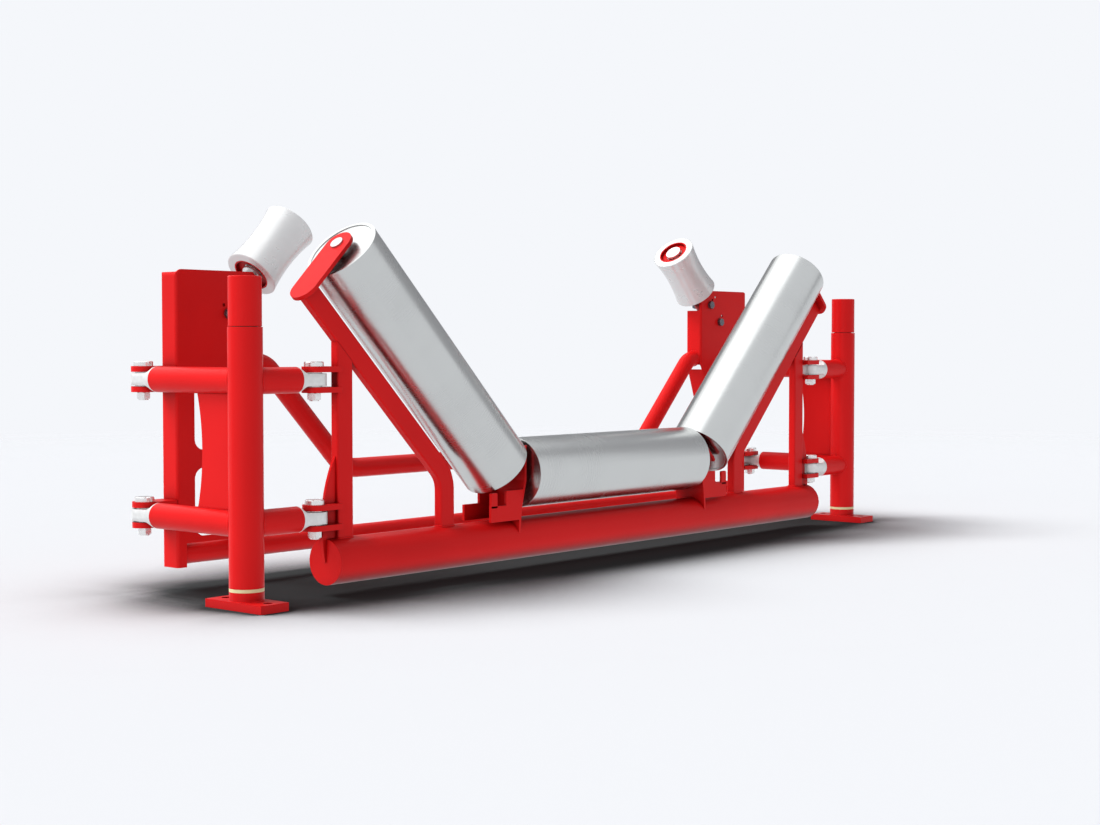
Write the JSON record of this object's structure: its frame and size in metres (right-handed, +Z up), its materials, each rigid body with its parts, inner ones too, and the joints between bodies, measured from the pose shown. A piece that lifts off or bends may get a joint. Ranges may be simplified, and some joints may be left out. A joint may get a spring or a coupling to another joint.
{
  "type": "self-aligning troughing idler",
  "caption": "Self-aligning conveyor idler: a trough of carrying rollers on a swivelling frame, steered by belt-edge guide rollers through cranked posts.",
  "frame": {"origin": "centre of the four floor bolt holes, on the undersides of the two foot plates", "axes": "+X along the rollers and the cross tube, +Y along the belt travel from the carrying rollers to the guide rollers, +Z up"},
  "size_m": [2.784, 0.5595, 0.9866],
  "materials": {
    "red_paint": "gloss red enamel on welded steel",
    "roller_steel": "satin, turned steel shells",
    "turned_steel": "turned and ground steel",
    "cast_zinc": "pale galvanised castings",
    "bolt_zinc": "bright zinc plate",
    "bush_plastic": "natural cream polymer",
    "guide_polymer": "smooth pale polyurethane"
  },
  "bodies": {
    "stand": {"foot_plates": "red_paint", "post_stubs": "red_paint", "thrust_rings": "bush_plastic", "spindles": "turned_steel", "spindle_caps": "red_paint"},
    "right_crank": {"right_sleeve": "red_paint", "right_bushes": "bush_plastic", "right_front_arms": "red_paint", "right_rear_arms": "red_paint", "right_web": "red_paint", "right_front_yokes": "cast_zinc", "right_rear_yokes": "cast_zinc"},
    "left_crank": {"left_sleeve": "red_paint", "left_bushes": "bush_plastic", "left_front_arms": "red_paint", "left_rear_arms": "red_paint", "left_web": "red_paint", "left_front_yokes": "cast_zinc", "left_rear_yokes": "cast_zinc"},
    "front_frame": {"cross_tube": "red_paint", "cross_tube_discs": "red_paint", "uprights": "red_paint", "left_wing_support": "red_paint", "right_wing_support": "red_paint", "shaft_plates": "red_paint", "front_clevises": "red_paint", "left_centre_bracket": "red_paint", "right_centre_bracket": "red_paint", "front_pivot_bolts": "bolt_zinc", "front_pivot_nuts": "bolt_zinc", "left_roller_shaft": "turned_steel", "centre_roller_shaft": "turned_steel", "right_roller_shaft": "turned_steel"},
    "left_roller": {"left_roller_shell": "roller_steel", "left_roller_ends": "roller_steel", "left_roller_bearings": "turned_steel"},
    "centre_roller": {"centre_roller_shell": "roller_steel", "centre_roller_ends": "roller_steel", "centre_roller_bearings": "turned_steel"},
    "right_roller": {"right_roller_shell": "roller_steel", "right_roller_ends": "roller_steel", "right_roller_bearings": "turned_steel"},
    "rear_frame": {"left_column": "red_paint", "right_column": "red_paint", "lower_tube": "red_paint", "trough_tube": "red_paint", "rear_clevises": "red_paint", "guide_brackets": "red_paint", "guide_bolts": "bolt_zinc", "guide_shafts": "turned_steel", "guide_caps": "bolt_zinc", "rear_pivot_bolts": "bolt_zinc", "rear_pivot_nuts": "bolt_zinc"},
    "left_guide_roller": {"left_guide_sleeve": "guide_polymer", "left_guide_core": "red_paint", "left_guide_bearings": "turned_steel"},
    "right_guide_roller": {"right_guide_sleeve": "guide_polymer", "right_guide_core": "red_paint", "right_guide_bearings": "turned_steel"}
  },
  "joints": [
    {"name": "right_crank_swing", "type": "hinge", "parent": "stand", "child": "right_crank", "pos_m": [1.35, 0, 0], "axis": [0, 0, 1], "range_deg": [-10, 10]},
    {"name": "left_crank_swing", "type": "hinge", "parent": "stand", "child": "left_crank", "pos_m": [-1.35, 0, 0], "axis": [0, 0, 1], "range_deg": [-10, 10]},
    {"name": "rear_frame_swing", "type": "hinge", "parent": "right_crank", "child": "rear_frame", "pos_m": [1.35, 0.387, 0], "axis": [0, 0, 1], "range_deg": [-10, 10]},
    {"name": "front_frame_yaw", "type": "hinge", "parent": "stand", "child": "front_frame", "pos_m": [0, 0, 0], "axis": [0, 0, 1], "range_deg": [-1.9, 1.9]},
    {"name": "left_roller_spin", "type": "hinge", "parent": "front_frame", "child": "left_roller", "pos_m": [-0.478, 0, 0.288], "axis": [-0.7071, 0, 0.7071], "continuous": true},
    {"name": "centre_roller_spin", "type": "hinge", "parent": "front_frame", "child": "centre_roller", "pos_m": [0, 0, 0.267], "axis": [1, 0, 0], "continuous": true},
    {"name": "right_roller_spin", "type": "hinge", "parent": "front_frame", "child": "right_roller", "pos_m": [0.478, 0, 0.288], "axis": [0.7071, 0, 0.7071], "continuous": true},
    {"name": "left_guide_spin", "type": "hinge", "parent": "rear_frame", "child": "left_guide_roller", "pos_m": [-1.004, 0.387, 0.802], "axis": [0.7071, 0, 0.7071], "continuous": true},
    {"name": "right_guide_spin", "type": "hinge", "parent": "rear_frame", "child": "right_guide_roller", "pos_m": [1.004, 0.387, 0.802], "axis": [-0.7071, 0, 0.7071], "continuous": true}
  ],
  "couplings": [
    {"joint": "left_crank_swing", "follows": "right_crank_swing", "ratio": 1},
    {"joint": "rear_frame_swing", "follows": "right_crank_swing", "ratio": -1},
    {"joint": "front_frame_yaw", "follows": "right_crank_swing", "ratio": -0.19}
  ]
}
